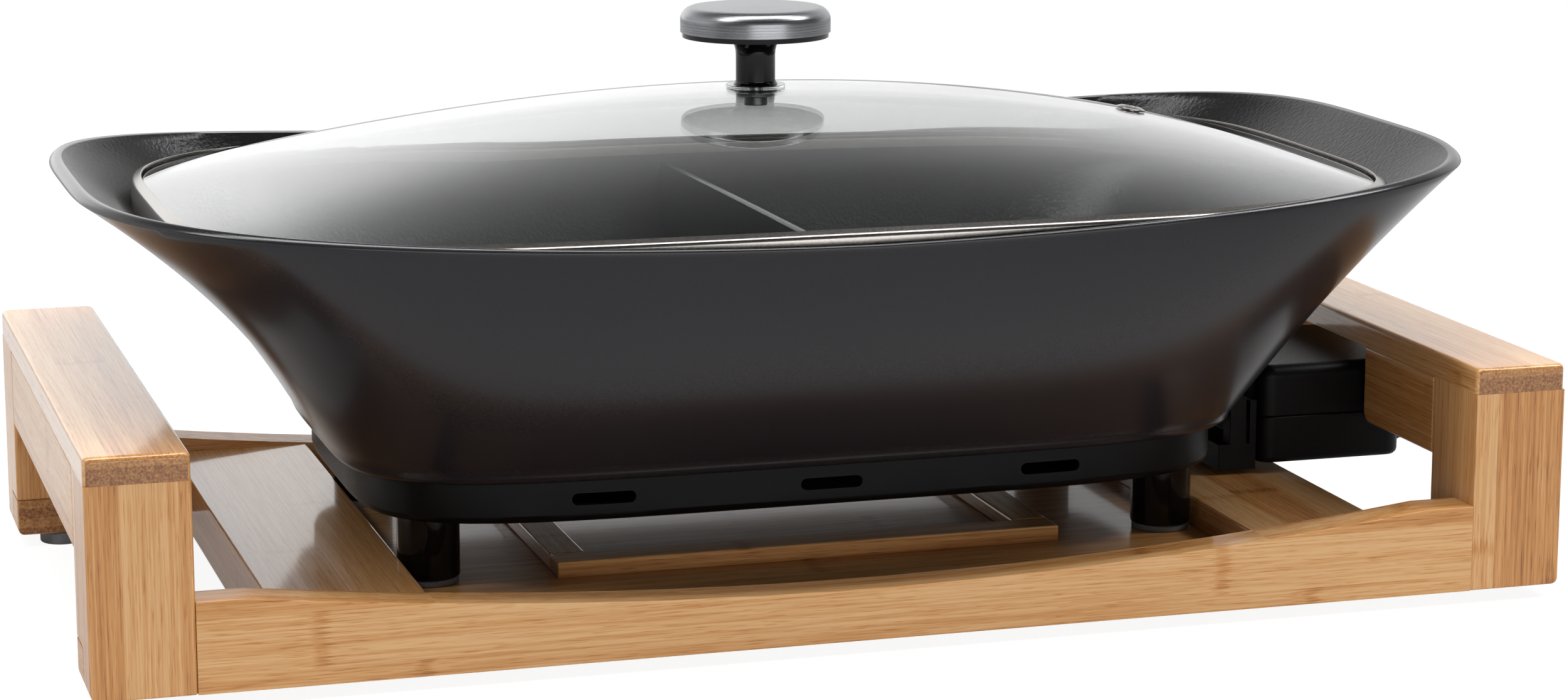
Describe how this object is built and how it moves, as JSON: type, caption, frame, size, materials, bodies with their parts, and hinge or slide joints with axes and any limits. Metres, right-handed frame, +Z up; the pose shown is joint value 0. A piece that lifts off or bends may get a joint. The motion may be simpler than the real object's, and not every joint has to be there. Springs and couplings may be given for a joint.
{
  "type": "electric skillet",
  "caption": "Electric skillet: flared divided pan with domed glass lid and knob, heating base, plug-in dial controller and bamboo carrying stand with handle posts",
  "frame": {"origin": "middle of the footprint on the plane the rubber feet stand on", "axes": "X along the length with the controller at +X, -Y the front, Z up"},
  "size_m": [0.56, 0.312, 0.2223],
  "materials": {
    "bamboo": "laminated bamboo under clear gloss lacquer",
    "rubber": "matte grey rubber",
    "steel": "brushed",
    "pan_coating": "satin charcoal coating on cast aluminium",
    "matte_black": "fine grained",
    "gloss_black": "polished",
    "cover_metal": "black enamel",
    "reflector": "mill finish",
    "ceramic": "unglazed",
    "brass": "plain",
    "glass": "clear tempered",
    "silicone": "translucent silicone",
    "phenolic": "moulded",
    "lamp_red": "translucent red"
  },
  "bodies": {
    "base": {"handle_cap_left": "bamboo", "handle_cap_right": "bamboo", "post_front_left": "bamboo", "post_rear_left": "bamboo", "post_front_right": "bamboo", "post_rear_right": "bamboo", "apron_left": "bamboo", "apron_front_right": "bamboo", "apron_rear_right": "bamboo", "front_rail": "bamboo", "rear_rail": "bamboo", "plank_left": "bamboo", "plank_right": "bamboo", "base_board": "bamboo", "ring_strip_front": "bamboo", "ring_strip_rear": "bamboo", "ring_strip_left": "bamboo", "ring_strip_right": "bamboo", "foot_blocks": "bamboo", "stand_feet": "rubber", "stand_foot_screws": "steel", "cap_dowels": "bamboo", "rail_dowels": "bamboo", "pan": "pan_coating", "pan_floor": "pan_coating", "divider": "pan_coating", "base_skirt": "matte_black", "bottom_cover": "cover_metal", "heating_element": "steel", "reflector_plate": "reflector", "pan_studs": "steel", "terminal_block": "ceramic", "inlet_pins": "brass", "probe_sleeve": "steel", "thermal_fuse": "ceramic", "pan_legs": "gloss_black", "leg_pads": "rubber", "leg_screws": "steel"},
    "lid": {"lid_glass": "glass", "lid_band": "steel", "vent_grommet": "steel", "knob_body": "gloss_black", "knob_cap": "steel", "knob_seal": "silicone", "knob_washer": "steel", "knob_screw": "steel"},
    "controller": {"controller_upper": "matte_black", "controller_lower": "matte_black", "plug_nose": "matte_black", "contact_sleeves": "brass", "probe": "steel", "thermostat_block": "phenolic", "cord_gland": "matte_black", "lamp_lens": "lamp_red", "neon_lamp": "lamp_red", "controller_screws": "steel"},
    "dial_body": {"dial": "gloss_black", "dial_shaft": "steel"}
  },
  "joints": [
    {"name": "lid_lift", "type": "slide", "parent": "base", "child": "lid", "axis": [0, 0, 1], "range_m": [0, 0.15]},
    {"name": "controller_unplug", "type": "slide", "parent": "base", "child": "controller", "axis": [1, 0, 0], "range_m": [0, 0.1]},
    {"name": "dial_turn", "type": "hinge", "parent": "controller", "child": "dial_body", "pos_m": [0.262, 0, 0.0543], "axis": [1, 0, 0], "range_deg": [0, 270]}
  ]
}
